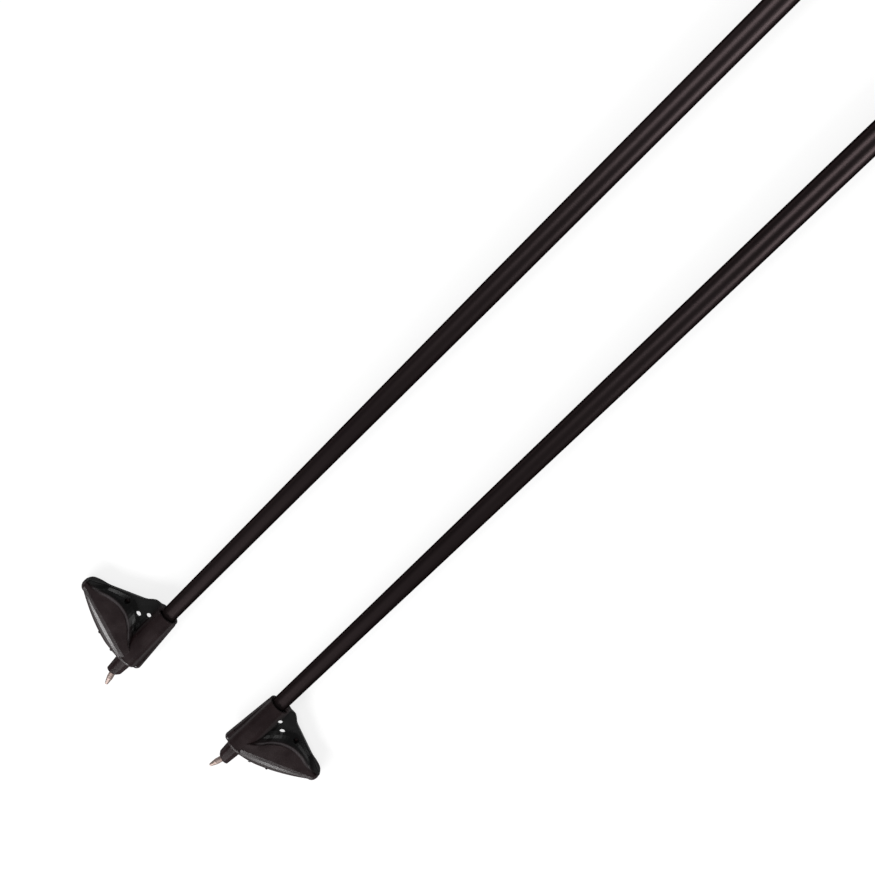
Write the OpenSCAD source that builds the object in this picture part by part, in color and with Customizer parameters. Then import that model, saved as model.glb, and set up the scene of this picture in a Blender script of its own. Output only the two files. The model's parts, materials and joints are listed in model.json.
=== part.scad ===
// A pair of one-piece walking poles, lying side by side on the ground.
// X runs along the poles towards the grips, Z is up, and the left pole lies at +Y.
// Every pole piece is drawn on an upright pole: z runs up the shaft from the mouth of
// the basket sleeve, x points the way the basket fin points, and y is across the fin.

/* [Pole] */
// Length of one pole, from the spike to the top of the grip cap
pole_len = 1200; // [1050:10:1400]
// Distance between the two shafts at the baskets
pole_gap = 92; // [80:1:140]
// How far the right pole lies ahead of the left one
pole_shift = 5; // [0:1:30]

/* [Shaft] */
// Outer diameter of the shaft in the basket sleeve
shaft_tip_d = 10.5; // [9.5:0.1:11.5]
// Outer diameter where the quick taper turns into the slow one
shaft_mid_d = 14.1; // [13:0.1:15]
// Outer diameter of the parallel upper part
shaft_top_d = 16; // [15.2:0.1:17]
// Height of the end of the quick taper above the sleeve mouth
taper_mid_h = 300; // [220:10:360]
// Height of the end of the slow taper above the sleeve mouth
taper_top_h = 700; // [500:10:800]
// Wall of the shaft tube
shaft_wall = 1.1; // [0.8:0.1:1.5]

/* [Basket] */
// Length of the sleeve that holds the shaft
sleeve_len = 43; // [38:1:50]
// Outer diameter of the sleeve at its mouth
sleeve_top_d = 14.8; // [14:0.1:16]
// Width of the fin and of the foot of the sleeve
fin_w = 17.2; // [16.6:0.1:20]
// Reach of the fin from the shaft axis
fin_reach = 54.2; // [48:0.2:62]
// Width of the fin at its rounded end
fin_end_w = 9.2; // [8:0.1:11]
// Height of the fin's side walls above the foot, at their crest
wall_h = 27.1; // [24:0.1:30]
// Height above the foot at which the walls run into the sleeve
wall_low_h = 10; // [8:0.5:13]
// Height of the web above the foot, at the end of the fin
web_end_h = 24; // [22:0.2:28]
// Thickness of the web that joins the fin to the sleeve
web_t = 1.8; // [1.2:0.1:2.6]
// Diameter of the two holes and the dimple in the web
web_hole_d = 3.9; // [3:0.1:4.4]
// Reach of the keel from the shaft axis, at the foot
keel_reach = 10.6; // [9.6:0.1:12]
// Width of the keel in front of the sleeve
keel_w = 6.8; // [5:0.2:9]

/* [Tip] */
// Length of the ferrule that shows below the sleeve
ferrule_len = 12.6; // [10:0.1:16]
// Diameter of the ferrule at the sleeve
ferrule_top_d = 11.4; // [11:0.1:12.4]
// Diameter of the ferrule at the spike
ferrule_end_d = 9.3; // [8:0.1:10]
// Length of the spigot that plugs the shaft
spigot_len = 26; // [18:1:36]
// Diameter of the steel spike
spike_d = 4.1; // [3.8:0.1:4.6]
// Diameter of the shank that holds the spike in the ferrule
shank_d = 3.5; // [3:0.1:3.6]
// Length of spike that shows below the ferrule
spike_out = 11; // [8:0.5:14]
// Length of the straight part of the spike, below the ferrule
spike_plain = 5.5; // [4:0.5:7]
// Diameter of the spike where its end starts to round
spike_end_d = 2.2; // [1.6:0.1:3]
// Depth of the spike's seat in the ferrule
spike_seat = 11; // [8:0.5:14]
// Forward bend of the spike
spike_bend = 14; // [6:1:18]

/* [Grip] */
// Length of the grip below its cap
grip_len = 158; // [145:1:180]
// Thickness of the grip across the palm swell
grip_t = 26.4; // [25:0.2:30]
// How much deeper the grip is than it is thick
grip_extra_w = 6; // [3:0.5:9]
// Height of the cap on the grip
cap_h = 7; // [6:0.5:10]
// Length of the grip's head above the end of the shaft
head_len = 36; // [34:1:50]

/* [Strap] */
// Width of the webbing
webbing_w = 15; // [12:1:16]
// Thickness of the webbing
webbing_t = 1.6; // [1.2:0.1:2]
// Width of the hand pad
pad_w = 25; // [20:1:26]
// Thickness of the hand pad
pad_t = 3; // [2:0.2:4]
// Distance from the pin to the centre of the hand end of the loop
loop_len = 128; // [110:1:150]
// Inner radius of the hand end of the loop
loop_r = 34; // [30:1:42]
// Angle at which the loop lies back towards the tip
loop_lean = 25; // [22:1:27]
// Distance from the pin to the buckle
buckle_at = 31; // [30:1:40]
// Diameter of the cross pin
pin_d = 4; // [3:0.1:5]

/* [Fits] */
// Glue gap round the shaft and the spigot
glue_gap = 0.05; // [0.02:0.01:0.1]
// Gap round the pin in the strap eye
pin_gap = 0.3; // [0.2:0.05:0.5]
// Gap round the sliding wedge
wedge_gap = 0.35; // [0.3:0.05:0.6]

/* [Hidden] */
$fn = 64;
slop = 1;

// Heights along the shaft
foot_r = 2.4;
mouth_bevel = 1;
tip_drop = sleeve_len + ferrule_len + spike_out * cos(spike_bend);
top_z = pole_len - tip_drop;
grip_top_z = top_z - cap_h;
grip_low_z = grip_top_z - grip_len;
shaft_top_z = grip_top_z - head_len;
shaft_bore_d = shaft_tip_d - 2 * shaft_wall;
taper_low_h = 2;
function swing(t) = (1 - cos(180 * max(0, min(1, t)))) / 2;

// Plan of the fin: flat sides that draw in from the sleeve to the rounded end
fin_end_r = fin_end_w / 2;
fin_end_x = fin_reach - fin_end_r;
fin_draw = (fin_w / 2 - fin_end_r) / fin_end_x;
fin_turn = atan(fin_draw);
function fin_half(x) =
    x > fin_end_x
    ? sqrt(max(0, pow(fin_end_r, 2) - pow(x - fin_end_x, 2)))
    : fin_w / 2 - fin_draw * x;

// Underside of the fin: rounded across, deepest half-way out, and a parabola along it
fin_round = 4;
fin_dip = 4.2;
fin_rise_a = 0.069;
fin_rise_b = 0.0063;
function fin_swell(x) = fin_round * sin(180 * min(1, x / fin_end_x));
function fin_mid_z(x) =
    let (t = min(x, fin_end_x))
    fin_half(t) + fin_swell(t) - sleeve_len - fin_dip + fin_rise_a * t + fin_rise_b * t * t;

// Upper edge of the fin walls, as shares of the crest's distance and rise, then a run down to the end
wall_crest_x = 28.5;
wall_end_drop = 4.8;
wall_edge_r = 0.9;
wall_rise = [[0, 0], [0.18, 0.17], [0.35, 0.41], [0.46, 0.62], [0.56, 0.76], [0.7, 0.9], [0.84, 0.97], [1, 1]];
function wall_z(x) =
    min(web_z(x) - 1, x < wall_crest_x
        ? wall_low_h + (wall_h - wall_low_h) * lookup(x / wall_crest_x, wall_rise) - sleeve_len
        : wall_h - wall_end_drop * swing((x - wall_crest_x) / (fin_end_x - wall_crest_x)) - sleeve_len);

// Upper edge of the web: a tab beside the mouth, a straight run and a rounded corner over the fin's end
web_tab_x = 10.5;
web_tab_z = 2.8;
web_slope = 0.465;
web_end_r = 3.2;
web_round_x = fin_reach - web_end_r;
function web_line_z(x) = web_end_h - sleeve_len + web_slope * (fin_reach - x);
function web_z(x) =
    x > web_round_x
    ? web_line_z(x) - web_end_r + sqrt(max(0, pow(web_end_r, 2) - pow(x - web_round_x, 2)))
    : let (t = swing((x - web_tab_x) / (sleeve_top_d / 2)))
      web_tab_z * (1 - t) + web_line_z(x) * t;

// Half thickness of the web: it swells into the end of the fin, and into the sleeve with a hollow blend
blend_r = 5;
blend_sunk = 0.4;
dish_h = 9;
dish_curve = 1.7;
function sleeve_r(z) = (sleeve_top_d + (fin_w - sleeve_top_d) * max(0, -z) / sleeve_len) / 2;
function blend_half(x, z) =
    let (r = sleeve_r(z))
    let (far = sqrt(pow(r + blend_r, 2) - pow(web_t / 2 + blend_r, 2)) - blend_sunk)
    let (d = max(0, far - max(x, far * r / (r + blend_r))))
    web_t / 2 + blend_r - sqrt(pow(blend_r, 2) - d * d);
function web_half(x) =
    let (edge = max(web_t / 2, fin_half(x) - wall_edge_r))
    fin_half(x) < web_t
    ? fin_half(x) / 2
    : web_t / 2 + (edge - web_t / 2) * swing((x - 0.78 * fin_end_x) / (0.22 * fin_end_x));
web_holes = [[8.6, -9.2], [14.6, -13.5]];
web_dimple = [25.2, -11.5];
dimple_floor = 0.6;

// Keel in front of the sleeve: it comes out of the mouth, ends in a ball and has a groove in each side
keel_mouth_x = -sleeve_top_d / 2 - 0.2;
keel_foot_z = keel_w / 2 - sleeve_len - 0.4;
keel_lean = atan((keel_reach + keel_mouth_x) / -keel_foot_z);
groove_w = 0.8;
groove_deep = 0.6;
groove_out = 2.2;

// Lie of a pole: it rests on the side of its fin and on the side of its grip
swell_z = grip_low_z + 0.56 * grip_len;
fin_side_z = foot_r - sleeve_len;
lie = atan((grip_t - fin_w) / 2 / (swell_z - fin_side_z));
mouth_h = fin_w / 2 * cos(lie) - fin_side_z * sin(lie);
reach_x = top_z * cos(lie);
back_x = tip_drop * cos(lie);
mouth_x = -(reach_x - back_x + pole_shift) / 2;

// Strap: the eye round the pin, and the flared pocket in the head of the grip
pin_x = 1.5;
pin_drop = 17;
pin_z = grip_top_z - pin_drop;
eye_r = pin_d / 2 + pin_gap;
eye_out_r = eye_r + webbing_t;
swing_range = 18;
swing_spare = 3;
pocket_gap = 0.8;
pocket_r = eye_out_r + pocket_gap;
pocket_w = webbing_w + 2 * pocket_gap;
pin_hold = 2.2;
pin_len = pocket_w + 2 * pin_hold;
pad_gap = 0.1;
pad_from = 0.55 * loop_len;
run_r = webbing_t + 0.4;
run_gap = 2;
buckle_len = 9;
buckle_wall = 2;
buckle_gap = 0.8;
buckle_end_x = buckle_at + buckle_len / 2;

// Wedge that locks the strap from above, and the cap's plug round it
wedge_w = 12;
wedge_d = 8;
wedge_foot_gap = 0.5;
wedge_foot_h = 3;
wedge_ridge_h = 1.5;
wedge_sunk = 1;
wedge_low_z = pin_z + eye_out_r + wedge_foot_gap;
plug_wall = 1.4;
plug_len = 6;

// Half thickness of the grip, as shares of the palm swell at shares of its length
grip_shape = [[0, 0.84], [0.05, 0.93], [0.22, 0.85], [0.56, 1], [0.8, 0.9], [0.94, 0.98], [1, 0.94]];
grip_steps = 32;
function shape_at(t, i = 0) =
    t <= grip_shape[i + 1][0] || i + 2 >= len(grip_shape)
    ? let (a = grip_shape[i], b = grip_shape[i + 1])
      a[1] + (b[1] - a[1]) * swing((t - a[0]) / (b[0] - a[0]))
    : shape_at(t, i + 1);
function grip_half(t) = grip_t / 2 * shape_at(t);
cap_r = grip_half(1);
cap_edge_h = 0.3 * cap_h;
cap_dome_h = 0.6 * cap_h;

// Places a piece of the upright pole where the left pole lies
module lie_left() {
    translate([mouth_x, pole_gap / 2, mouth_h])
        rotate([0, -lie, 0])
            rotate([90, 0, 90])
                children();
}

// The right pole is the left one's mirror image
module lie_right() {
    translate([pole_shift, 0, 0])
        mirror([0, 1, 0])
            lie_left()
                children();
}

// Tapered tube
module shaft() {
    color("#26221f")
        rotate_extrude()
            polygon([
                [shaft_bore_d / 2, -sleeve_len],
                [shaft_tip_d / 2, -sleeve_len],
                [shaft_tip_d / 2, taper_low_h],
                [shaft_mid_d / 2, taper_mid_h],
                [shaft_top_d / 2, taper_top_h],
                [shaft_top_d / 2, shaft_top_z],
                [shaft_top_d / 2 - shaft_wall, shaft_top_z],
                [shaft_top_d / 2 - shaft_wall, taper_top_h],
                [shaft_mid_d / 2 - shaft_wall, taper_mid_h],
                [shaft_bore_d / 2, taper_low_h]
            ]);
}

// Draws each side outline as a plate of the given thickness, centred across the pole
module across(t) {
    for (i = [0 : $children - 1])
        translate([0, t / 2, 0])
            rotate([90, 0, 0])
                linear_extrude(t)
                    children(i);
}

// One side of the fin's cross-section, from the middle of the underside up to the web's edge
function fin_side(x, half) =
    let (low = fin_mid_z(x), wall = wall_z(x), high = web_z(x), thin = web_half(x))
    let (edge = min(wall_edge_r, half / 2))
    let (rim = half - edge, dish = min(dish_h, 0.75 * (high - wall)), round = min(wall_edge_r, 0.2 * (high - wall)))
    concat(
        [for (a = [0 : 15 : 90]) [half * sin(a), low - (half + fin_swell(x)) * cos(a)]],
        [for (a = [0 : 30 : 90]) [rim + edge * cos(a), wall - edge + edge * sin(a)]],
        [for (t = [0.15, 0.35, 0.6, 1])
            let (z = wall + dish * t)
            [max(thin + (rim - thin) * pow(1 - t, dish_curve), min(rim, blend_half(x, z))), z]],
        [for (a = [0 : 30 : 90])
            let (z = high - round * (1 - sin(a)), y = max(thin, min(rim, blend_half(x, z))))
            [y - min(0.6 * y, round) * (1 - cos(a)), z]],
        [[0, high]]
    );

// Closed ring of points round the fin at x
function fin_ring(x, half) =
    let (side = fin_side(x, half), n = len(side))
    concat(
        [for (p = side) [x, p[0], p[1]]],
        [for (i = [n - 2 : -1 : 1]) [x, -side[i][0], side[i][1]]]
    );

// Joins rings of points into one solid
module loft(rings) {
    n = len(rings[0]);
    last = len(rings) - 1;
    polyhedron(
        points = [for (ring = rings) each ring],
        faces = concat(
            [[for (j = [0 : n - 1]) j], [for (j = [n - 1 : -1 : 0]) last * n + j]],
            [for (i = [0 : last - 1], j = [0 : n - 1]) [i * n + j, i * n + n + j, i * n + (j + 1) % n]],
            [for (i = [0 : last - 1], j = [0 : n - 1])
                [i * n + (j + 1) % n, i * n + n + j, i * n + n + (j + 1) % n]]
        )
    );
}

// Fin and web with two holes and a dimple; its first ring is sunk in the sleeve
module fin() {
    steps = 24;
    difference() {
        loft(concat(
            [fin_ring(0, fin_half(0) - 0.7)],
            [for (i = [1 : steps]) let (x = fin_end_x * i / steps) fin_ring(x, fin_half(x))],
            [for (a = [18 : 18 : 72]) let (x = fin_end_x + fin_end_r * sin(a)) fin_ring(x, fin_half(x))],
            [let (x = fin_end_x + fin_end_r * sin(84)) fin_ring(x, fin_half(x))]
        ));
        translate([0, 0, -sleeve_len - fin_w])
            cylinder(h = fin_w, r = fin_w);
        for (p = web_holes)
            across_hole(p, 2 * fin_w);
        for (side = [-1, 1])
            translate([0, side * (fin_w + dimple_floor) / 2, 0])
                across_hole(web_dimple, fin_w);
    }
}

// Hole across the pole, centred on it
module across_hole(at, long) {
    translate([at[0], 0, at[1]])
        rotate([90, 0, 0])
            cylinder(h = long, d = web_hole_d, center = true);
}

// Keel in front of the sleeve, drawn down from the mouth along its own lean
module keel() {
    long = -keel_foot_z / cos(keel_lean);
    translate([keel_mouth_x + keel_w / 2, 0, 0])
        rotate([0, 180 + keel_lean, 0])
            difference() {
                union() {
                    translate([0, 0, foot_r])
                        cylinder(h = long - foot_r, d = keel_w);
                    translate([0, 0, long])
                        sphere(d = keel_w);
                }
                for (side = [-1, 1])
                    translate([groove_out, side * sqrt(pow(keel_w / 2, 2) - pow(groove_out, 2)), 0.6 * long])
                        cube([groove_w, 2 * groove_deep, 0.5 * long], center = true);
            }
}

// Conical sleeve with a rounded foot
module sleeve() {
    foot_x = fin_w / 2 - foot_r;
    rotate_extrude()
        polygon(concat(
            [[0, -sleeve_len]],
            [for (a = [0 : 15 : 90]) [foot_x + foot_r * sin(a), foot_r * (1 - cos(a)) - sleeve_len]],
            [[sleeve_top_d / 2, 0], [0, 0]]
        ));
}

module basket() {
    bore_r = shaft_tip_d / 2 + glue_gap;
    color("#1d1a1b")
        rotate(-fin_turn)
            difference() {
                union() {
                    sleeve();
                    fin();
                    keel();
                }
                translate([0, 0, -sleeve_len - slop])
                    cylinder(h = sleeve_len + fin_w, r = bore_r);
                translate([0, 0, -mouth_bevel])
                    cylinder(h = mouth_bevel + slop, r1 = bore_r, r2 = bore_r + mouth_bevel + slop);
            }
}

// Moulded ferrule: a spigot in the shaft, and a tapered nose with the bent seat of the spike
module tip_ferrule() {
    nose_spare = 2;
    nose_r = ferrule_end_d / 2 - 0.6;
    color("#211d1d")
        difference() {
            union() {
                translate([0, 0, -sleeve_len])
                    cylinder(h = spigot_len - 1, d = shaft_bore_d - 2 * glue_gap);
                translate([0, 0, spigot_len - 1 - sleeve_len])
                    cylinder(h = 1, d1 = shaft_bore_d - 2 * glue_gap, d2 = shaft_bore_d - 2);
                intersection() {
                    translate([0, 0, -sleeve_len - ferrule_len - nose_spare])
                        cylinder(
                            h = ferrule_len + nose_spare,
                            d1 = ferrule_end_d - nose_spare * (ferrule_top_d - ferrule_end_d) / ferrule_len,
                            d2 = ferrule_top_d
                        );
                    along_spike()
                        cylinder(h = 2 * ferrule_len, r1 = nose_r, r2 = nose_r + 2 * ferrule_len);
                }
            }
            along_spike()
                translate([0, 0, -slop])
                    cylinder(h = spike_seat + slop, d = shank_d + 2 * glue_gap);
        }
}

// Places a piece with z up the spike, from the end of the ferrule
module along_spike() {
    rotate(-fin_turn)
        translate([0, 0, -sleeve_len - ferrule_len])
            rotate([0, spike_bend, 0])
                children();
}

// Steel spike: a shank in the ferrule, a shoulder on its nose, and a tapered, rounded end
module spike() {
    round = spike_end_d / 3;
    color("#b9aaa2")
        along_spike()
            rotate_extrude()
                polygon(concat(
                    [[0, spike_seat], [shank_d / 2, spike_seat], [shank_d / 2, 0]],
                    [[spike_d / 2, 0], [spike_d / 2, -spike_plain]],
                    [for (a = [0 : 15 : 90]) [spike_end_d / 2 * cos(a), round * (1 - sin(a)) - spike_out]]
                ));
}

// Turns a half profile into a long round body: two turned halves with a flat stretch between them
module long_round(deep) {
    for (turn = [0, 180])
        rotate(turn)
            translate([deep / 2, 0, 0])
                rotate(-90)
                    rotate_extrude(angle = 180)
                        children();
    translate([-deep / 2, 0, 0])
        rotate([90, 0, 90])
            linear_extrude(deep) {
                children();
                mirror([1, 0])
                    children();
            }
}

// Rings for the fingers, as shares of the grip's length, and the stations of its outline with their depths
ring_from = 0.15;
ring_to = 0.46;
ring_pitch = 0.05;
ring_half = 0.008;
ring_deep = 0.8;
grip_stations = concat(
    [for (i = [0 : grip_steps]) let (t = i / grip_steps) if (t < ring_from - ring_half) [t, 0]],
    [for (t = [ring_from : ring_pitch : ring_to]) each [[t - ring_half, 0], [t, ring_deep], [t + ring_half, 0]]],
    [for (i = [0 : grip_steps]) let (t = i / grip_steps) if (t > ring_to) [t, 0]]
);

// Grip before its pockets are cut
module grip_blank() {
    long_round(grip_extra_w)
        polygon(concat(
            [[0, grip_low_z]],
            [for (p = grip_stations) [grip_half(p[0]) - p[1], grip_low_z + grip_len * p[0]]],
            [[0, grip_top_z]]
        ));
}

// Pocket in which the strap swings: a round seat with a flared mouth towards the palm
module strap_pocket() {
    high = swing_range - loop_lean + swing_spare;
    low = -swing_range - loop_lean - swing_spare;
    far = 2 * grip_t;
    translate([pin_x, 0, pin_z])
        across(pocket_w) {
            circle(pocket_r);
            polygon([
                pocket_r * [-sin(high), cos(high)],
                pocket_r * [-sin(high), cos(high)] + far * [cos(high), sin(high)],
                pocket_r * [sin(low), -cos(low)] + far * [cos(low), sin(low)],
                pocket_r * [sin(low), -cos(low)]
            ]);
        }
}

module grip() {
    color("#1b1a1c")
        difference() {
            grip_blank();
            translate([0, 0, grip_low_z - slop])
                cylinder(h = grip_len - head_len + slop, d = shaft_top_d + 2 * glue_gap);
            strap_pocket();
            translate([pin_x, 0, pin_z])
                rotate([90, 0, 0])
                    cylinder(h = pin_len + 2 * glue_gap, d = pin_d + 2 * glue_gap, center = true);
            translate([pin_x, 0, (pin_z + grip_top_z) / 2 + slop])
                cube([wedge_d + 2 * wedge_gap, wedge_w + 2 * wedge_gap, grip_top_z - pin_z], center = true);
            translate([pin_x, 0, grip_top_z - plug_len / 2 + slop / 2])
                cube(plug_size(plug_len + slop) + [2, 2, 0] * glue_gap, center = true);
        }
}

function plug_size(h) = [
    wedge_d + 2 * wedge_gap + 2 * plug_wall,
    wedge_w + 2 * wedge_gap + 2 * plug_wall,
    h
];

// Domed cap with a plug that lines the top of the wedge's channel
module grip_cap() {
    color("#2a292b")
        difference() {
            union() {
                translate([0, 0, grip_top_z])
                    long_round(grip_extra_w)
                        polygon(concat(
                            [[0, 0], [cap_r, 0]],
                            [for (a = [0 : 15 : 90]) [
                                cap_r - cap_h * (1 - cos(a)),
                                cap_edge_h + cap_dome_h * sin(a)
                            ]],
                            [[0, cap_h]]
                        ));
                translate([pin_x, 0, grip_top_z - plug_len / 2])
                    cube(plug_size(plug_len), center = true);
            }
            translate([pin_x, 0, grip_top_z])
                cube([wedge_d + 2 * wedge_gap, wedge_w + 2 * wedge_gap, 4 * cap_h], center = true);
        }
}

module strap_pin() {
    color("#8f8f92")
        translate([pin_x, 0, pin_z])
            rotate([90, 0, 0])
                cylinder(h = pin_len, d = pin_d, center = true);
}

// Wedge with a narrowed foot and a ridge to pull it by
module strap_wedge() {
    high = top_z - wedge_sunk;
    color("#3a3a3d")
        translate([pin_x, 0, 0])
            across(wedge_w)
                polygon([
                    [-wedge_d / 4, wedge_low_z],
                    [wedge_d / 4, wedge_low_z],
                    [wedge_d / 2, wedge_low_z + wedge_foot_h],
                    [wedge_d / 2, high],
                    [wedge_d / 6, high],
                    [wedge_d / 6, high - wedge_ridge_h],
                    [-wedge_d / 6, high - wedge_ridge_h],
                    [-wedge_d / 6, high],
                    [-wedge_d / 2, high],
                    [-wedge_d / 2, wedge_low_z + wedge_foot_h]
                ]);
}

// Solid belt of width w round two wheels on the x axis
module belt(x1, r1, x2, r2, w) {
    lean = asin((r2 - r1) / (x2 - x1));
    side = [-sin(lean), cos(lean)];
    across(w) {
        translate([x1, 0])
            circle(r1);
        translate([x2, 0])
            circle(r2, $fn = 96);
        polygon([
            [x1, 0] + r1 * side,
            [x2, 0] + r2 * side,
            [x2, 0] + r2 * [side[0], -side[1]],
            [x1, 0] + r1 * [side[0], -side[1]]
        ]);
    }
}

// Lays a piece along the strap, with x away from the pin
module along_strap() {
    translate([pin_x, 0, pin_z])
        rotate([0, loop_lean, 0])
            children();
}

// Inside of the loop, from the buckle to the hand end
module loop_inside(shrink, w) {
    belt(buckle_end_x + run_gap + 2 * shrink, run_r - webbing_t, loop_len, loop_r - shrink, w);
}

module strap() {
    color("#232326")
        along_strap()
            difference() {
                union() {
                    belt(0, eye_out_r, buckle_end_x, run_r, webbing_w);
                    belt(buckle_end_x, run_r, loop_len, loop_r + webbing_t, webbing_w);
                }
                across(webbing_w + slop)
                    circle(eye_r);
                loop_inside(0, webbing_w + slop);
            }
}

// Soft pad inside the hand end of the loop
module strap_lining() {
    color("#3c3c40")
        along_strap()
            difference() {
                loop_inside(pad_gap, pad_w);
                loop_inside(pad_gap + pad_t, pad_w + slop);
                translate([pad_from - 2 * loop_r, 0, 0])
                    cube([4 * loop_r, pad_w + slop, 4 * loop_r], center = true);
            }
}

// Loop buckle that holds both runs of the webbing together
module strap_buckle() {
    slot_t = 2 * (run_r + buckle_gap);
    slot_w = webbing_w + buckle_gap;
    color("#4a4a4e")
        along_strap()
            translate([buckle_at, 0, 0])
                difference() {
                    cube([buckle_len, slot_w + 2 * buckle_wall, slot_t + 2 * buckle_wall], center = true);
                    cube([buckle_len + slop, slot_w, slot_t], center = true);
                }
}

lie_left() shaft();  // left_shaft
lie_left() basket();  // left_basket
lie_left() tip_ferrule();  // left_tip_ferrule
lie_left() spike();  // left_spike
lie_left() grip();  // left_grip
lie_left() grip_cap();  // left_grip_cap
lie_left() strap_pin();  // left_strap_pin
lie_left() strap_wedge();  // left_strap_wedge
lie_left() strap();  // left_strap
lie_left() strap_lining();  // left_strap_lining
lie_left() strap_buckle();  // left_strap_buckle
lie_right() shaft();  // right_shaft
lie_right() basket();  // right_basket
lie_right() tip_ferrule();  // right_tip_ferrule
lie_right() spike();  // right_spike
lie_right() grip();  // right_grip
lie_right() grip_cap();  // right_grip_cap
lie_right() strap_pin();  // right_strap_pin
lie_right() strap_wedge();  // right_strap_wedge
lie_right() strap();  // right_strap
lie_right() strap_lining();  // right_strap_lining
lie_right() strap_buckle();  // right_strap_buckle
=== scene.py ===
import json
import math
from bisect import bisect_left

import bpy
from mathutils import Matrix, Vector
from mathutils.bvhtree import BVHTree


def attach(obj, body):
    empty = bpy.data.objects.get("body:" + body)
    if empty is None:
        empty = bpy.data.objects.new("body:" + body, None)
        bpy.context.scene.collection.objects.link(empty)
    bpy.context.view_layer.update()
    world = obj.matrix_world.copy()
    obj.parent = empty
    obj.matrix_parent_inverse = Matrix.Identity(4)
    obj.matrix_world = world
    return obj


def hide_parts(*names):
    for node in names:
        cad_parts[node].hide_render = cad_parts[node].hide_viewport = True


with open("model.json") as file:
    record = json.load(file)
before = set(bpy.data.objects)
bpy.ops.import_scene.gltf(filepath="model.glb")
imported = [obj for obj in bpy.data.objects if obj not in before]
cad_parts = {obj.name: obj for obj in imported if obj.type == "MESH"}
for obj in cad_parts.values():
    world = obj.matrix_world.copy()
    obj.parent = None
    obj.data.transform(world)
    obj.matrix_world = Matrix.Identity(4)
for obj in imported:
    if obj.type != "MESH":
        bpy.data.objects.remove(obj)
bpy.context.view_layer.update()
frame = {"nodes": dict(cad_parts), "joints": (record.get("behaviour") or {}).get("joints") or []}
nodes = frame["nodes"]
sides = ("left", "right")
outwardOf = {"left": 1, "right": -1}         # which way along y a pole's fin and strap point

# the photograph's frame and what shows where in it, in its pixels
photo = {"wide": 875, "high": 872}
imagePoints = {
    "leftFinEdge": (80.9, 583),
    "leftSpikeEnd": (109, 686),
    "leftMouth": (168.5, 616.5),
    "leftHole": (137, 613),
    "leftShaftAtTop": (781, 0),
    "leftUpperTooth": (99, 632.3),
    "leftLowerTooth": (109.3, 650.9),
    "rightFinEdge": (319, 770),
    "rightFinLow": (311, 780.2),
    "rightSpikeEnd": (210, 765),
    "rightMouth": (280.2, 704.4),
    "rightHole": (281, 731),
    "rightShaftAtEdge": (875, 138.2),
    "rightUpperTooth": (265.9, 769.7),
    "rightLowerTooth": (248.1, 762.4),
}


def clearSelection():
    if bpy.context.object and bpy.context.object.mode != "OBJECT":
        bpy.ops.object.mode_set(mode="OBJECT")
    bpy.ops.object.select_all(action="DESELECT")


def selectOnly(piece):
    clearSelection()
    bpy.context.view_layer.objects.active = piece
    piece.select_set(True)


# turns a thing's own x, y and z to three directions and moves it to a place
def axesAt(place, x, y, z):
    return Matrix.Translation(place) @ Matrix((x, y, z)).transposed().to_4x4()


# camera: settled by both shafts, mouths and spikes
cameraView = {
    "place": (-0.10076, 0.13430, 0.85560),
    "look": (-0.25570, -0.14390, -0.95600),
    "up": (0.67743, 0.67881, -0.28341),
    "lens": 60.0,
    "sensor": 36.0,
    "clip": (0.01, 50),
}


def makeCamera():
    data = bpy.data.cameras.new("photoCamera")
    data.lens = cameraView["lens"]
    data.sensor_width = cameraView["sensor"]
    data.sensor_fit = "AUTO"
    data.clip_start, data.clip_end = cameraView["clip"]
    camera = bpy.data.objects.new("photoCamera", data)
    bpy.context.scene.collection.objects.link(camera)
    back = -Vector(cameraView["look"]).normalized()
    side = Vector(cameraView["up"]).cross(back).normalized()
    camera.matrix_world = axesAt(cameraView["place"], side, back.cross(side), back)
    bpy.context.scene.camera = camera
    bpy.context.view_layer.update()
    print("camera made")
    return camera


camera = makeCamera()


def photoRay(x, y):
    data, large = camera.data, max(photo["wide"], photo["high"])
    ray = Vector((x - photo["wide"] / 2 + data.shift_x * large, photo["high"] / 2 - y + data.shift_y * large,
                  -large * data.lens / data.sensor_width))
    return camera.matrix_world.translation.copy(), (camera.matrix_world.to_3x3() @ ray).normalized()


# the place on a carrier that shows at an image point, and the surface's direction there
def placeOn(carrier, name):
    vertices = [v.co.copy() for v in carrier.data.vertices]
    tree = BVHTree.FromPolygons(vertices, [tuple(p.vertices) for p in carrier.data.polygons])
    start, way = photoRay(*imagePoints[name])
    place, normal, _, _ = tree.ray_cast(start, way)
    if place is None:
        nearest = min(vertices, key=lambda v: ((v - start) - way * (v - start).dot(way)).length)
        place, normal, _, _ = tree.find_nearest(start + way * (nearest - start).dot(way))
    return place, normal


def mathNode(tree, operation, *values):
    node = tree.nodes.new("ShaderNodeMath")
    node.operation = operation
    for socket, value in zip(node.inputs, values):
        if isinstance(value, (int, float)):
            socket.default_value = value
        else:
            tree.links.new(value, socket)
    return node.outputs[0]


# three soft boxes: two with grids, high over the grips, and a low one beyond the tips
studio = {
    "frontBox": {"turn": -57, "far": 1.5, "along": 0.27, "long": 0.86, "wide": 0.7, "beam": 80, "power": 3.9},
    "backBox": {"turn": 34, "far": 1.8, "along": 0.27, "long": 0.86, "wide": 0.8, "beam": 80, "power": 3.9},
    "tipBox": {"height": 31, "far": 1.3, "along": -0.55, "aside": -0.15, "long": 1.5, "wide": 0.3,
               "beam": 150, "power": 26},
    "room": 0.25,
    "floor": {"size": 60, "tone": (0.9, 0.9, 0.9), "rough": 0.9, "gloss": 0.1, "backdrop": 0.8},
}


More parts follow.
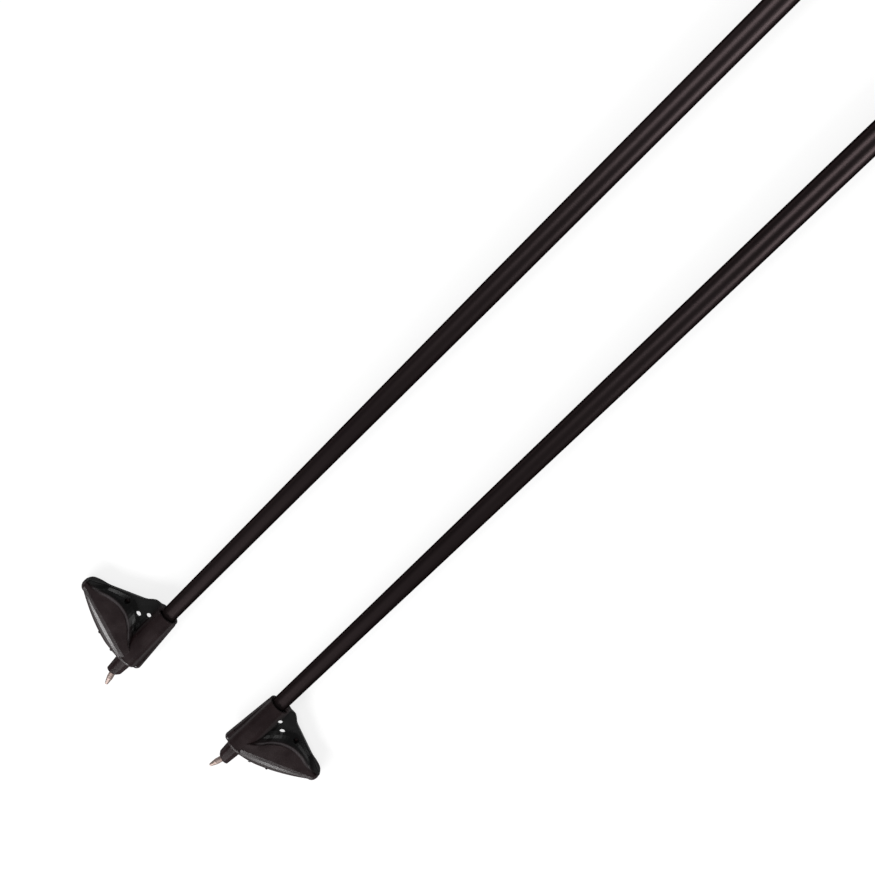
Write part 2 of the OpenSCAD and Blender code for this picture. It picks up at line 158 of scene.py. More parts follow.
def addBox(name, away, aside=0.0):
    box = studio[name]
    data = bpy.data.lights.new(name, "AREA")
    data.shape = "RECTANGLE"
    data.size = box["long"]
    data.size_y = box["wide"]
    data.energy = box["power"]
    data.spread = math.radians(box["beam"])
    light = bpy.data.objects.new(name, data)
    bpy.context.scene.collection.objects.link(light)
    side = Vector((1, 0, 0)) if abs(away.x) < 0.5 else Vector((0, 1, 0))
    place = away * box["far"] + Vector((box["along"], aside, 0))
    light.matrix_world = axesAt(place, side, away.cross(side), away)


def lightStudio():
    for name in ("frontBox", "backBox"):
        turn = math.radians(studio[name]["turn"])
        addBox(name, Vector((0, math.sin(turn), math.cos(turn))))
    rise = math.radians(studio["tipBox"]["height"])
    addBox("tipBox", Vector((-math.cos(rise), 0, math.sin(rise))), studio["tipBox"]["aside"])
    world = bpy.data.worlds.new("paleRoom")
    world.use_nodes = True
    world.node_tree.nodes["Background"].inputs["Color"].default_value = (1, 1, 1, 1)
    world.node_tree.nodes["Background"].inputs["Strength"].default_value = studio["room"]
    bpy.context.scene.world = world
    bpy.context.scene.view_settings.view_transform = "Standard"
    print("studio lit")


# white floor: mostly the backdrop's own white for what is looked at or mirrored, with the object's shadow left in it
def layFloor():
    plan = studio["floor"]
    clearSelection()
    bpy.ops.mesh.primitive_plane_add(size=plan["size"], location=(0, 0, 0))
    floor = bpy.context.active_object
    floor.name = "studioFloor"
    material = bpy.data.materials.new("paleFloor")
    material.use_nodes = True
    tree = material.node_tree
    shader = tree.nodes["Principled BSDF"]
    shader.inputs["Base Color"].default_value = (*plan["tone"], 1)
    shader.inputs["Roughness"].default_value = plan["rough"]
    shader.inputs["Specular IOR Level"].default_value = plan["gloss"]
    white = tree.nodes.new("ShaderNodeEmission")
    white.inputs["Strength"].default_value = 1.0
    rays = tree.nodes.new("ShaderNodeLightPath").outputs
    seen = mathNode(tree, "MAXIMUM", rays["Is Camera Ray"], rays["Is Glossy Ray"])
    seen = mathNode(tree, "MAXIMUM", seen, rays["Is Transmission Ray"])
    mixed = tree.nodes.new("ShaderNodeMixShader")
    tree.links.new(mathNode(tree, "MULTIPLY", seen, plan["backdrop"]), mixed.inputs[0])
    tree.links.new(shader.outputs[0], mixed.inputs[1])
    tree.links.new(white.outputs[0], mixed.inputs[2])
    tree.links.new(mixed.outputs[0], tree.nodes["Material Output"].inputs["Surface"])
    floor.data.materials.append(material)
    print("floor laid")


# detail and roughness of each noise, the span of one that runs from the dark tone to the light,
# where another counts as a scuff, and how a crossing of the threads changes the tone
patterns = {
    "grain": (2.0, 0.6), "cloud": (4.0, 0.55), "scuff": (8.0, 0.7),
    "cloudSpan": (0.32, 0.68), "scuffLevel": 0.72, "scuffEdge": 6.0, "crossing": (0.6, 0.2),
}


def noiseNode(tree, vector, scale, kind):
    node = tree.nodes.new("ShaderNodeTexNoise")
    node.inputs["Detail"].default_value, node.inputs["Roughness"].default_value = patterns[kind]
    tree.links.new(vector, node.inputs["Vector"])
    tree.links.new(scale, node.inputs["Scale"])
    return node.outputs["Fac"]


def rangeNode(tree, value, low, high, start=0.0, end=1.0, smooth=False):
    node = tree.nodes.new("ShaderNodeMapRange")
    node.interpolation_type = "SMOOTHSTEP" if smooth else "LINEAR"
    for socket, number in zip(("From Min", "From Max", "To Min", "To Max"), (low, high, start, end)):
        node.inputs[socket].default_value = number
    tree.links.new(value, node.inputs["Value"])
    return node.outputs["Result"]


# node groups that several finishes share: each takes a vector and numbers, and puts out numbers
def newGroup(name, values, results):
    group = bpy.data.node_groups.new(name, "ShaderNodeTree")
    group.interface.new_socket("Vector", in_out="INPUT", socket_type="NodeSocketVector")
    for socket, value in values.items():
        group.interface.new_socket(socket, in_out="INPUT", socket_type="NodeSocketFloat").default_value = value
    for socket in results:
        group.interface.new_socket(socket, in_out="OUTPUT", socket_type="NodeSocketFloat")
    return group, group.nodes.new("NodeGroupInput").outputs, group.nodes.new("NodeGroupOutput").inputs


def makeGrainGroup():
    group, given, result = newGroup("fineGrain", {"Grain Scale": 2500.0, "Cloud Scale": 60.0}, ("Height", "Cloud"))
    grain = noiseNode(group, given["Vector"], given["Grain Scale"], "grain")
    cloud = noiseNode(group, given["Vector"], given["Cloud Scale"], "cloud")
    group.links.new(grain, result["Height"])
    group.links.new(rangeNode(group, cloud, *patterns["cloudSpan"]), result["Cloud"])
    return group


def makeScuffGroup():
    group, given, result = newGroup("faintScuffs", {"Scale": 90.0, "Share": 0.2}, ("Mask",))
    streaks = noiseNode(group, given["Vector"], given["Scale"], "scuff")
    limit = mathNode(group, "SUBTRACT", patterns["scuffLevel"], given["Share"])
    over = mathNode(group, "SUBTRACT", streaks, limit)
    group.links.new(rangeNode(group, over, 0.0, 1 / patterns["scuffEdge"]), result["Mask"])
    return group


def makeWeaveGroup():
    group, given, result = newGroup("weave", {"Warp Pitch": 0.0011, "Weft Pitch": 0.0009}, ("Height", "Shade"))
    parts = group.nodes.new("ShaderNodeSeparateXYZ")
    group.links.new(given["Vector"], parts.inputs[0])
    waves = {}
    for axis, pitch in (("X", "Weft Pitch"), ("Y", "Warp Pitch")):
        threads = mathNode(group, "DIVIDE", parts.outputs[axis], given[pitch])
        waves[axis] = mathNode(group, "SINE", mathNode(group, "MULTIPLY", threads, math.pi))
    warp = mathNode(group, "ABSOLUTE", waves["Y"])
    weft = mathNode(group, "ABSOLUTE", waves["X"])
    over = mathNode(group, "MULTIPLY_ADD", mathNode(group, "MULTIPLY", waves["X"], waves["Y"]), 0.5, 0.5)
    under = mathNode(group, "SUBTRACT", 1.0, over)
    height = mathNode(group, "ADD", mathNode(group, "MULTIPLY", warp, over), mathNode(group, "MULTIPLY", weft, under))
    group.links.new(height, result["Height"])
    group.links.new(mathNode(group, "MULTIPLY_ADD", over, *patterns["crossing"]), result["Shade"])
    return group


# the upper edge of the fin's walls: its points are millimetres out from the shaft and down from the mouth,
# and the curve holds them as shares of its reach and drop; the rest is in metres
rimLine = {
    "mouth": {"left": -0.536222, "right": -0.531222}, "beside": 0.046, "reach": 55, "drop": 45,
    "points": [(0, 33), (5.1, 30.1), (10, 26), (13.1, 22.4), (16, 20), (20, 17.6), (23.9, 16.4), (28.5, 15.9),
               (35, 16.9), (42, 19.3), (49.6, 20.7)],
    # the painted highlight's width and fade along the rim, where both painted marks start out from the shaft, and
    # where the painted shade on the web lies
    "wide": 0.0009, "start": (0.0065, 0.009), "fade": (0.038, 0.050),
    "webMiddle": 0.0080, "webEdge": (0.0030, 0.0062), "above": -0.0015,
}


# where the walls' rim runs, and the web above it: two masks in the pole's own place, for a painted highlight along
# the rim and painted shade on the web
def makeFinGroup():
    r = rimLine
    group, given, result = newGroup(
        "finMasks", {"Mouth": r["mouth"]["left"], "Rim Width": r["wide"]}, ("Painted Rim Highlight", "Painted Web Shade"))
    parts = group.nodes.new("ShaderNodeSeparateXYZ")
    group.links.new(given["Vector"], parts.inputs[0])
    out = mathNode(group, "SUBTRACT", mathNode(group, "ABSOLUTE", parts.outputs["Y"]), r["beside"])
    down = mathNode(group, "SUBTRACT", given["Mouth"], parts.outputs["X"])
    line = group.nodes.new("ShaderNodeFloatCurve")
    curve = line.mapping.curves[0]
    spots = [(u / r["reach"], h / r["drop"]) for u, h in r["points"]]
    curve.points[0].location, curve.points[1].location = spots[0], spots[-1]
    for spot in spots[1:-1]:
        curve.points.new(*spot)
    line.mapping.update()
    group.links.new(mathNode(group, "MULTIPLY", out, 1000 / r["reach"]), line.inputs["Value"])
    off = mathNode(group, "SUBTRACT", down, mathNode(group, "MULTIPLY", line.outputs[0], r["drop"] / 1000))
    clear = rangeNode(group, out, *r["start"])
    share = mathNode(group, "DIVIDE", mathNode(group, "ABSOLUTE", off), given["Rim Width"])
    # painted highlight: a narrow band along the rim line, fading out towards the fin's end
    near = rangeNode(group, share, 0.0, 1.0, 1.0, 0.0, smooth=True)
    fade = rangeNode(group, out, *r["fade"], 1.0, 0.0)
    # painted shade: the web around its middle, above the rim line
    height = mathNode(group, "ABSOLUTE", mathNode(group, "SUBTRACT", parts.outputs["Z"], r["webMiddle"]))
    inside = rangeNode(group, height, *r["webEdge"], 1.0, 0.0)
    above = rangeNode(group, off, r["above"], 0.0, 1.0, 0.0)
    for socket, first, second in (("Painted Rim Highlight", near, fade), ("Painted Web Shade", inside, above)):
        mask = mathNode(group, "MULTIPLY", mathNode(group, "MULTIPLY", first, second), clear)
        group.links.new(mask, result[socket])
    return group


grainGroup = makeGrainGroup()
scuffGroup = makeScuffGroup()
weaveGroup = makeWeaveGroup()
finGroup = makeFinGroup()
print("node groups made")

# each finish: its two tones, its gloss and its grain, with sizes in metres; what it leaves out is as in plain
plain = {"ior": 1.45, "metal": 0.0, "sheen": 0.0, "stretch": (1, 1, 1), "byUv": False, "bumpDeep": 0.0003}
finishes = {
    "blackAnodised": {
        "dark": (0.0235, 0.0176, 0.0182), "light": (0.0315, 0.0238, 0.0246), "rough": (0.36, 0.42), "metal": 1.0,
        "edge": (0.02, 0.02, 0.02), "grain": 2200, "cloud": 25, "stretch": (0.15, 1, 1), "bump": 0.02,
        "scuffs": 0.02, "scuffTone": (0.05, 0.04, 0.04)},
    "basketPlastic": {
        "dark": (0.0060, 0.0026, 0.0030), "light": (0.0098, 0.0047, 0.0053), "rough": (0.23, 0.30), "ior": 1.31,
        "turned": (0.28, 0.62), "grain": 2600, "cloud": 90, "bump": 0.05,
        "scuffs": 0.05, "scuffTone": (0.020, 0.015, 0.016),
        # the first tone below is painted shade on the web, the second a painted highlight along the walls' rim
        "paintedWebShade": (0.0016, 0.0015, 0.0016), "rim": {"tone": (0.088, 0.076, 0.080), "share": 0.85}},
    "tipPlastic": {
        "dark": (0.0066, 0.0022, 0.0028), "light": (0.0104, 0.0040, 0.0048), "rough": (0.32, 0.42), "ior": 1.20,
        "turned": (0.28, 0.62), "grain": 2600, "cloud": 120, "bump": 0.10,
        "scuffs": 0.10, "scuffTone": (0.03, 0.022, 0.022)},
    "groundSteel": {
        "dark": (0.175, 0.135, 0.122), "light": (0.27, 0.215, 0.198), "rough": (0.50, 0.64), "metal": 1.0,
        "grain": 1500, "cloud": 400, "stretch": (2.5, 0.4, 0.4), "bump": 0.10,
        "scuffs": 0.22, "scuffTone": (0.14, 0.11, 0.095)},
    "pinSteel": {
        "dark": (0.22, 0.22, 0.23), "light": (0.34, 0.34, 0.35), "rough": (0.30, 0.42), "metal": 1.0,
        "grain": 1800, "cloud": 300, "stretch": (1, 0.3, 1), "bump": 0.08,
        "scuffs": 0.10, "scuffTone": (0.10, 0.10, 0.10)},
    "foamGrip": {
        "dark": (0.0085, 0.0085, 0.0090), "light": (0.0180, 0.0180, 0.0190), "rough": (0.72, 0.86),
        "grain": 1100, "cloud": 260, "bump": 0.45, "scuffs": 0.08, "scuffTone": (0.035, 0.034, 0.034)},
    "capPlastic": {
        "dark": (0.0095, 0.0095, 0.0105), "light": (0.0160, 0.0160, 0.0175), "rough": (0.38, 0.50),
        "grain": 2200, "cloud": 110, "bump": 0.14, "scuffs": 0.12, "scuffTone": (0.05, 0.05, 0.05)},
    "wedgePlastic": {
        "dark": (0.022, 0.022, 0.025), "light": (0.036, 0.036, 0.040), "rough": (0.42, 0.54),
        "grain": 2200, "cloud": 140, "bump": 0.14, "scuffs": 0.12, "scuffTone": (0.07, 0.07, 0.07)},
    "bucklePlastic": {
        "dark": (0.012, 0.012, 0.013), "light": (0.022, 0.022, 0.024), "rough": (0.34, 0.46), "ior": 1.47,
        "grain": 2200, "cloud": 140, "bump": 0.12, "scuffs": 0.12, "scuffTone": (0.06, 0.06, 0.06)},
    "blackWebbing": {
        "dark": (0.0060, 0.0060, 0.0066), "light": (0.0230, 0.0230, 0.0250), "rough": (0.74, 0.90),
        "weave": (0.0013, 0.0010), "bump": 0.55, "sheen": 0.25, "byUv": True},
    "greyFleece": {
        "dark": (0.020, 0.020, 0.023), "light": (0.044, 0.044, 0.050), "rough": (0.85, 0.97), "ior": 1.4,
        "grain": 900, "cloud": 180, "bump": 0.50, "sheen": 0.5, "byUv": True},
    "paleThread": {
        "dark": (0.060, 0.060, 0.066), "light": (0.105, 0.105, 0.112), "rough": (0.6, 0.75),
        "grain": 5000, "cloud": 600, "bump": 0.3, "sheen": 0.2},
}


def groupNode(tree, group, vector, values):
    node = tree.nodes.new("ShaderNodeGroup")
    node.node_tree = group
    tree.links.new(vector, node.inputs["Vector"])
    for socket, value in values.items():
        node.inputs[socket].default_value = value
    return node.outputs


# mixes two colours, the first of them a tone or another node's colour
def blendTone(tree, colour, tone, share):
    node = tree.nodes.new("ShaderNodeMix")
    node.data_type = "RGBA"
    if isinstance(colour, tuple):
        node.inputs["A"].default_value = (*colour, 1)
    else:
        tree.links.new(colour, node.inputs["A"])
    node.inputs["B"].default_value = (*tone, 1)
    tree.links.new(share, node.inputs["Factor"])
    return node.outputs["Result"]


def makeFinish(name, side=None):
    f = {**plain, **finishes[name]}
    material = bpy.data.materials.new(name if side is None else side + name[0].upper() + name[1:])
    material.use_nodes = True
    tree = material.node_tree
    shader = tree.nodes["Principled BSDF"]
    place = tree.nodes.new("ShaderNodeTexCoord")
    mapping = tree.nodes.new("ShaderNodeMapping")
    mapping.inputs["Scale"].default_value = f["stretch"]
    tree.links.new(place.outputs["UV" if f["byUv"] else "Object"], mapping.inputs["Vector"])
    spot = mapping.outputs[0]
    if "weave" in f:
        cloth = groupNode(tree, weaveGroup, spot, {"Warp Pitch": f["weave"][0], "Weft Pitch": f["weave"][1]})
        height, shade = cloth["Height"], cloth["Shade"]
    else:
        grain = groupNode(tree, grainGroup, spot, {"Grain Scale": f["grain"], "Cloud Scale": f["cloud"]})
        height, shade = grain["Height"], grain["Cloud"]
    colour = blendTone(tree, f["dark"], f["light"], shade)
    rough = rangeNode(tree, shade, 0.0, 1.0, *f["rough"])
    if "scuffs" in f:
        scuff = groupNode(tree, scuffGroup, spot, {"Share": f["scuffs"]})
        colour = blendTone(tree, colour, f["scuffTone"], scuff["Mask"])
    if side:                                 # the web gets painted shade, and the walls' rim a painted highlight
        masks = groupNode(tree, finGroup, place.outputs["Object"],
                          {"Mouth": rimLine["mouth"][side], "Rim Width": rimLine["wide"]})
        colour = blendTone(tree, colour, f["paintedWebShade"], masks["Painted Web Shade"])
        # painted highlight along the walls' rim
        rimHighlightShare = mathNode(tree, "MULTIPLY", masks["Painted Rim Highlight"], f["rim"]["share"])
        colour = blendTone(tree, colour, f["rim"]["tone"], rimHighlightShare)
    if "turned" in f:                        # the plastic loses its gloss where it turns away
        facing = tree.nodes.new("ShaderNodeLayerWeight").outputs["Facing"]
        rough = mathNode(tree, "MAXIMUM", rough, rangeNode(tree, facing, *f["turned"]))
    bump = tree.nodes.new("ShaderNodeBump")
    bump.inputs["Strength"].default_value = f["bump"]
    bump.inputs["Distance"].default_value = f["bumpDeep"]
    tree.links.new(height, bump.inputs["Height"])
    tree.links.new(bump.outputs[0], shader.inputs["Normal"])
    tree.links.new(colour, shader.inputs["Base Color"])
    tree.links.new(rough, shader.inputs["Roughness"])
    shader.inputs["Metallic"].default_value = f["metal"]
    shader.inputs["IOR"].default_value = f["ior"]
    shader.inputs["Sheen Weight"].default_value = f["sheen"]
    if "edge" in f:
        shader.inputs["Specular Tint"].default_value = (*f["edge"], 1)
    return material


materials = {name: makeFinish(name) for name in finishes}
for side in sides:
    materials[side + "Basket"] = makeFinish("basketPlastic", side)
print("finishes made")


def dress(piece, name):
    piece.data.materials.clear()
    piece.data.materials.append(materials[name])


nodeFinish = {
    "shaft": "blackAnodised", "tip_ferrule": "tipPlastic", "spike": "groundSteel", "grip": "foamGrip",
    "grip_cap": "capPlastic", "strap_pin": "pinSteel", "strap_wedge": "wedgePlastic", "strap": "blackWebbing",
    "strap_lining": "greyFleece", "strap_buckle": "bucklePlastic",
}


def dressNodes():
    for side in sides:
        dress(nodes[side + "_basket"], side + "Basket")
        for part, name in nodeFinish.items():
            dress(nodes[side + "_" + part], name)
    print("nodes dressed")


smoothAngle = 35


def recalculateNormals(piece):
    selectOnly(piece)
    bpy.ops.object.mode_set(mode="EDIT")
    bpy.ops.mesh.select_all(action="SELECT")
    bpy.ops.mesh.normals_make_consistent(inside=False)
    bpy.ops.object.mode_set(mode="OBJECT")
    bpy.ops.object.shade_smooth_by_angle(angle=math.radians(smoothAngle))


def applyModifiers(piece):
    selectOnly(piece)
    for modifier in list(piece.modifiers):
        bpy.ops.object.modifier_apply(modifier=modifier.name)


# webbing, and what every soft band lies along: round the pin, through the buckle and round the hand, in metres
webbing = {"wide": 0.015, "thick": 0.0016, "step": 0.0012, "across": 8, "selvedge": 0.00045, "segments": 2}
loopSizes = {
    "lean": 25, "eye": 0.0023, "meet": 0.0355, "neck": 0.0004, "long": 0.128, "round": 0.034,
    "step": 0.0008, "join": 0.031, "eyeEnd": 0.012, "softening": 16,
}


# the pin's place, and the ways out of the grip, across the loop and along the pin
def strapPlace(side):
    joint = [j for j in frame["joints"] if j["name"] == side + "_strap_swing"][0]
    up = Vector(joint["axis"])
    along = Vector((up.z, 0, -up.x))
    outward = Vector((0, outwardOf[side], 0))
    lean = math.radians(loopSizes["lean"])
    out = outward * math.cos(lean) - along * math.sin(lean)
    return Vector(joint["pos_m"]), out, outward * math.sin(lean) + along * math.cos(lean), up


def arcPoints(centre, radius, start, end):
    count = max(4, round(radius * abs(end - start) / loopSizes["step"]))
    return [(centre + radius * math.cos(start + (end - start) * i / count),
             radius * math.sin(start + (end - start) * i / count)) for i in range(count + 1)]


def linePoints(start, end):
    count = max(2, round(math.dist(start, end) / loopSizes["step"]))
    return [(start[0] + (end[0] - start[0]) * i / count, start[1] + (end[1] - start[1]) * i / count)
            for i in range(1, count + 1)]


# middle line of the webbing, from inside the buckle round the pin and the hand and back into the buckle
def loopPath():
    s, half = loopSizes, webbing["thick"] / 2
    eye, hand, meet = s["eye"] + half, s["round"] + half, half + s["neck"]
    reach = s["long"] - s["meet"]
    drop = math.atan2(eye - meet, s["meet"])
    leave = math.pi / 2 + (math.atan2(-meet, reach) + math.asin(hand / math.hypot(reach, meet)))
    upper = arcPoints(0, eye, math.pi, math.pi / 2 - drop)
    upper += linePoints(upper[-1], (s["meet"], meet))
    upper += linePoints(upper[-1], (s["long"] + hand * math.cos(leave), hand * math.sin(leave)))
    upper += arcPoints(s["long"], hand, leave, 0)[1:]
    points = upper + [(x, -y) for x, y in reversed(upper)][1:-1]
    for _ in range(s["softening"]):          # softens the corners past the buckle, and leaves the eye round
        points = [p if p[0] < s["eyeEnd"] else
                  tuple((points[i - 1][k] + 2 * p[k] + points[(i + 1) % len(points)][k]) / 4 for k in (0, 1))
                  for i, p in enumerate(points)]
    first = min((i for i in range(len(points)) if points[i][1] < 0), key=lambda i: abs(points[i][0] - s["join"]))
    return points[first:] + points[:first + 1]


def pathLengths(path):
    lengths = [0.0]
    for a, b in zip(path, path[1:]):
        lengths.append(lengths[-1] + math.dist(a, b))
    return lengths


# 1 where the path's own left hand points away from the loop's inside, else -1
def padInside(path):
    area = sum(a[0] * b[1] - b[0] * a[1] for a, b in zip(path, path[1:]))
    return -1 if area > 0 else 1


# lays a flat piece along the loop: x runs along it, y across the webbing, z out from its middle
def layAlong(piece, path, lengths, side, offset=0.0):
    pin, out, turn, up = strapPlace(side)
    for vertex in piece.data.vertices:
        run = min(max(vertex.co.x, 0.0), lengths[-1])
        i = min(max(1, bisect_left(lengths, run)), len(lengths) - 1)
        share = (run - lengths[i - 1]) / max(1e-9, lengths[i] - lengths[i - 1])
        a, b = path[i - 1], path[i]
        before, after = path[max(0, i - 2)], path[min(len(path) - 1, i + 1)]
        way = Vector(((b[0] - before[0]) * (1 - share) + (after[0] - a[0]) * share,
                      (b[1] - before[1]) * (1 - share) + (after[1] - a[1]) * share)).normalized()
        height = vertex.co.z + offset
        u = a[0] + (b[0] - a[0]) * share - way.y * height
        v = a[1] + (b[1] - a[1]) * share + way.x * height
        vertex.co = pin + out * u + turn * v + up * vertex.co.y
    piece.data.update()


# a flat grid along x from start, with its UV map in metres and a wall that is yet to be applied
def flatBand(name, start, long, size):
    clearSelection()
    bpy.ops.mesh.primitive_grid_add(x_subdivisions=round(long / size["step"]), y_subdivisions=size["across"], size=1)
    band = bpy.context.active_object
    band.name = name
    for vertex in band.data.vertices:
        vertex.co = Vector(((vertex.co.x + 0.5) * long + start, vertex.co.y * size["wide"], 0))
    for loop in band.data.uv_layers.active.data:
        loop.uv = (loop.uv[0] * long, loop.uv[1] * size["wide"])
    wall = band.modifiers.new("wall", "SOLIDIFY")
    wall.thickness = size["thick"]
    wall.offset = 0
    return band


def settle(piece, side, finish, node=None):
    dress(piece, finish)
    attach(piece, side + "_wrist_strap")
    if node:
        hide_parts(side + "_" + node)


# webbing band: flat, with rounded selvedges, then laid along the loop
def makeWebbing(side, path, lengths):
    band = flatBand(side + "_wrist_webbing", 0.0, lengths[-1], webbing)
    edge = band.modifiers.new("edge", "BEVEL")
    edge.width = webbing["selvedge"]
    edge.segments = webbing["segments"]
    edge.limit_method = "ANGLE"
    applyModifiers(band)
    layAlong(band, path, lengths, side)
    recalculateNormals(band)
    settle(band, side, "blackWebbing", "strap")


# hand pad: crowned between its edges, drawn in along two sewn channels
pad = {
    "wide": 0.025, "thick": 0.0030, "from": 0.0712, "gap": 0.0001, "edge": 0.0008, "crownWide": 0.0035,
    "channel": 0.0062, "channelDeep": 0.0007, "channelWide": 0.0009, "step": 0.0014, "across": 28, "fill": 0.55,
}


def padSpan(path, lengths):
    inside = [i for i, p in enumerate(path) if p[0] >= pad["from"]]
    return lengths[inside[0]], lengths[inside[-1]]


def makePad(side, path, lengths):
    start, end = padSpan(path, lengths)
    cushion = flatBand(side + "_hand_pad", start, end - start, pad)
    applyModifiers(cushion)
    for vertex in cushion.data.vertices:
        fromEdge = min(pad["wide"] / 2 - abs(vertex.co.y), vertex.co.x - start, end - vertex.co.x)
        crown = math.sqrt(max(0.0, 1 - max(0.0, 1 - fromEdge / pad["crownWide"]) ** 2))
        channel = math.exp(-((abs(vertex.co.y) - pad["channel"]) / pad["channelWide"]) ** 2)
        half = pad["edge"] / 2 + (pad["thick"] / 2 - pad["edge"] / 2) * crown
        if vertex.co.z < 0:
            half -= pad["channelDeep"] * channel * crown
        vertex.co.z = math.copysign(half, vertex.co.z)
    inward = webbing["thick"] / 2 + pad["gap"] + pad["thick"] / 2
    layAlong(cushion, path, lengths, side, -inward * padInside(path))
    recalculateNormals(cushion)
    settle(cushion, side, "greyFleece", "strap_lining")


# stitches: one short thread, its ends dipped into the cloth, copied along rows and laid with the band it holds
stitch = {
    "long": 0.0019, "thick": 0.00045, "sides": 6, "cuts": 2, "dip": 0.9, "proud": 0.15, "pitch": 0.0028,
    "rowIn": 0.0022, "boxFrom": 0.0105, "boxLong": 0.013, "padIn": 0.003,
}


def makeStitchRow(name, spots):
    clearSelection()
    bpy.ops.mesh.primitive_cylinder_add(vertices=stitch["sides"], radius=stitch["thick"] / 2, depth=stitch["long"],
                                        rotation=(0, math.pi / 2, 0))
    first = bpy.context.active_object
    bpy.ops.object.transform_apply(location=False, rotation=True, scale=False)
    bpy.ops.object.mode_set(mode="EDIT")
    bpy.ops.mesh.select_all(action="SELECT")
    bpy.ops.mesh.subdivide(number_cuts=stitch["cuts"])
    bpy.ops.object.mode_set(mode="OBJECT")
    for vertex in first.data.vertices:
        vertex.co.z -= stitch["thick"] * stitch["dip"] * (abs(vertex.co.x) / (stitch["long"] / 2)) ** 2
    copies = []
    for x, y, z, turned in spots:
        copy = bpy.data.objects.new(name, first.data.copy())
        bpy.context.scene.collection.objects.link(copy)
        turn = Matrix.Rotation(turned, 4, "Z")
        flip = Matrix.Rotation(math.pi, 4, "X") if z < 0 else Matrix.Identity(4)
        copy.data.transform(Matrix.Translation((x, y, z)) @ flip @ turn)
        copies.append(copy)
    bpy.data.objects.remove(first)
    clearSelection()
    for copy in copies:
        copy.select_set(True)
    bpy.context.view_layer.objects.active = copies[0]
    bpy.ops.object.join()
    copies[0].name = name
    return copies[0]


def rowSpots(start, end, y, z):
    count = max(1, int((end - start) / stitch["pitch"]))
    return [(start + (i + 0.5) * (end - start) / count, y, z, 0.0) for i in range(count)]


def acrossSpots(x, half, z):
    count = max(1, int(2 * half / stitch["pitch"]))
    return [(x, -half + (i + 0.5) * 2 * half / count, z, math.pi / 2) for i in range(count)]


def makeStitching(side, path, lengths):
    outer = (webbing["thick"] / 2 + stitch["thick"] * stitch["proud"]) * padInside(path)
    eyeAt = lengths[min(range(len(path)), key=lambda i: path[i][0])]
    half = webbing["wide"] / 2 - stitch["rowIn"]
    spots = []
    for way in (-1, 1):                      # a sewn box on each run, between the pin and the buckle
        near, far = eyeAt + way * stitch["boxFrom"], eyeAt + way * (stitch["boxFrom"] + stitch["boxLong"])
        for y in (-half, half):
            spots += rowSpots(min(near, far), max(near, far), y, outer)
        for x in (near, far):
            spots += acrossSpots(x, half, outer)
    start, end = padSpan(path, lengths)
    start, end = start + stitch["padIn"], end - stitch["padIn"]
    for y in (-half, half):                  # rows that hold the pad, on the outside of the webbing
        spots += rowSpots(start, end, y, outer)
    for x in (start, end):
        spots += acrossSpots(x, half, outer)
    thread = makeStitchRow(side + "_webbing_stitches", spots)
    layAlong(thread, path, lengths, side)
    settle(thread, side, "paleThread")


def makeStraps():
    path = loopPath()
    lengths = pathLengths(path)
    for side in sides:
        makeWebbing(side, path, lengths)
        makePad(side, path, lengths)
        makeStitching(side, path, lengths)
    print("straps made,", round(lengths[-1] * 1000), "mm of webbing each")


# rounds every edge of the piece just added
def roundEdges(offset, segments, clamp=False):
    bpy.ops.object.mode_set(mode="EDIT")
    bpy.ops.mesh.select_all(action="SELECT")
    bpy.ops.mesh.bevel(offset=offset, segments=segments, affect="EDGES", clamp_overlap=clamp)
    bpy.ops.object.mode_set(mode="OBJECT")


def joinBasket(piece, side):
    recalculateNormals(piece)
    dress(piece, "basketPlastic")
    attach(piece, side + "_pole")


# two low teeth on the underside of each fin: about a pixel proud in the photograph, four or five long
tooth = {
    "proud": 0.00055, "sunk": 0.0008, "long": 0.0026, "across": 0.0022, "crest": 0.45,
    "round": 0.00015, "segments": 2,
}


def makeTooth(side, which):
    place, normal = placeOn(nodes[side + "_basket"], side + which + "Tooth")
    clearSelection()
    bpy.ops.mesh.primitive_cube_add(size=1)
    made = bpy.context.active_object
    made.name = side + "_fin_" + which.lower() + "_tooth"
    for vertex in made.data.vertices:        # narrower at its crest, and sunk in the fin
        crest = vertex.co.z > 0
        draw = tooth["crest"] if crest else 1.0
        vertex.co = Vector((vertex.co.x * tooth["long"] * draw, vertex.co.y * tooth["across"] * draw,
                            tooth["proud"] if crest else -tooth["sunk"]))
    roundEdges(tooth["round"], tooth["segments"])
    across = (Vector((0, 0, 1)) - normal * normal.z).normalized()
    made.data.transform(axesAt(place, across.cross(normal), across, normal))
    joinBasket(made, side)
    return made


def makeTeeth():
    made = {side + which + "Tooth": makeTooth(side, which) for side in sides for which in ("Upper", "Lower")}
    print("teeth made")
    return made


# where the openings are: the sleeve's radius, the fin's turn, and two of the web's holes by how far they are
# out from the shaft and down from the mouth, with how near a vertex has to be to count as on a ring
openings = {
    "sleeveRadius": 0.0072, "finTurn": 4.6, "hole": (0.0146, 0.0135), "holeRadius": 0.00195,
    "blindHole": (0.0252, 0.0115), "nearEnd": 0.001, "nearRim": 0.0001,
}


def middle(points):
    return sum(points, Vector()) / len(points)


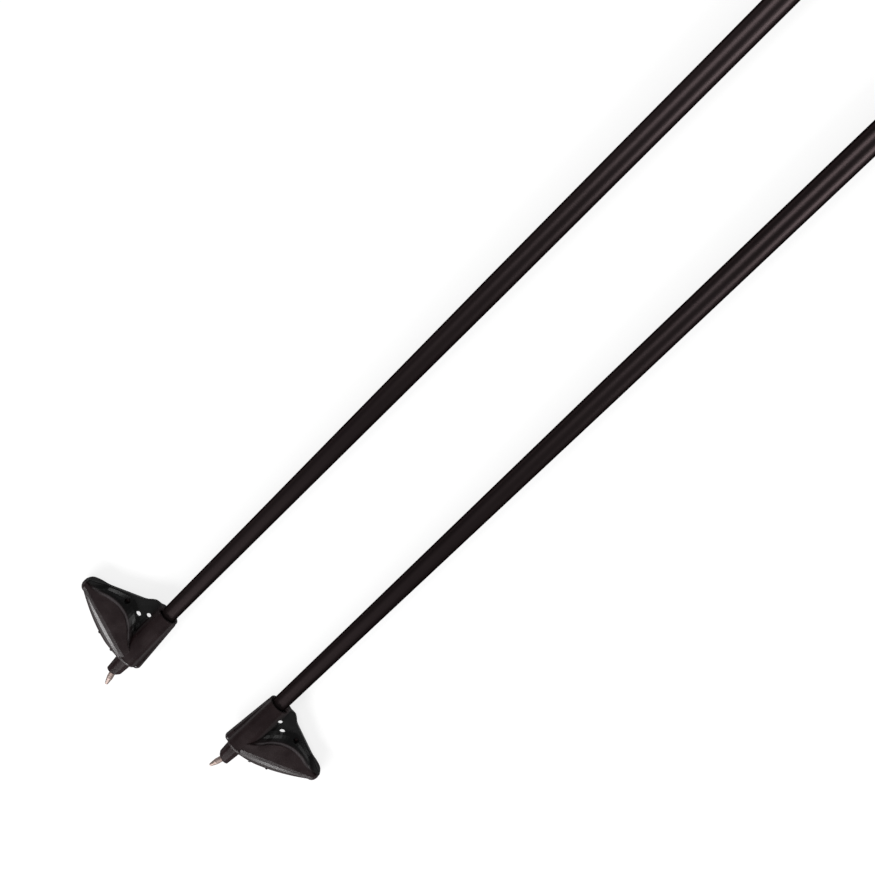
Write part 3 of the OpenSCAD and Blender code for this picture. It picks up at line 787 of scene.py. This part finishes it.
# a shaft's own line, from the rings at its two ends
def shaftLine(side):
    points = [v.co for v in nodes[side + "_shaft"].data.vertices]
    low, high = min(p.x for p in points), max(p.x for p in points)
    start = middle([p for p in points if p.x < low + openings["nearEnd"]])
    return start, (middle([p for p in points if p.x > high - openings["nearEnd"]]) - start).normalized()


# the sleeve's mouth: as high up the shaft as the sleeve reaches on the side away from the fin
def mouthMiddle(side, start, way):
    heights = []
    for vertex in nodes[side + "_basket"].data.vertices:
        off = vertex.co - start
        beside = (off - way * off.dot(way)).length
        if off.y * outwardOf[side] < 0 and beside < openings["sleeveRadius"]:
            heights.append(off.dot(way))
    return start + way * max(heights)


# a hole's place on the web, the way up the pole and the way through the web
def webPlace(side, hole):
    start, way = shaftLine(side)
    turn, (out, down) = math.radians(openings["finTurn"]), openings[hole]
    outward = Vector((0, math.cos(turn) * outwardOf[side], -math.sin(turn)))
    return mouthMiddle(side, start, way) + outward * out - way * down, way, way.cross(outward).normalized()


# raised centre of the blind hole, on both faces of the web
pip = {"radius": 0.0012, "floor": 0.00025, "top": 0.00072, "sides": 24, "round": 0.00018, "segments": 3}


def makePips():
    for side in sides:
        place, way, across = webPlace(side, "blindHole")
        for face, label in ((1, "first"), (-1, "second")):
            clearSelection()
            bpy.ops.mesh.primitive_cylinder_add(vertices=pip["sides"], radius=pip["radius"],
                                                depth=pip["top"] - pip["floor"],
                                                location=(0, 0, (pip["top"] + pip["floor"]) / 2))
            made = bpy.context.active_object
            made.name = side + "_web_pip_" + label
            bpy.ops.object.transform_apply(location=True, rotation=False, scale=False)
            roundEdges(pip["round"], pip["segments"], clamp=True)
            normal = across * face
            made.data.transform(axesAt(place, way, normal.cross(way), normal))
            joinBasket(made, side)
    print("pips made")


# finds where each tooth's image point falls on its basket; the place found is not kept
def writePoints(teeth):
    for name, piece in teeth.items():
        place, normal = placeOn(nodes[("left" if name.startswith("left") else "right") + "_basket"], name)


lightStudio()
layFloor()
dressNodes()
makeStraps()
teeth = makeTeeth()
makePips()
writePoints(teeth)
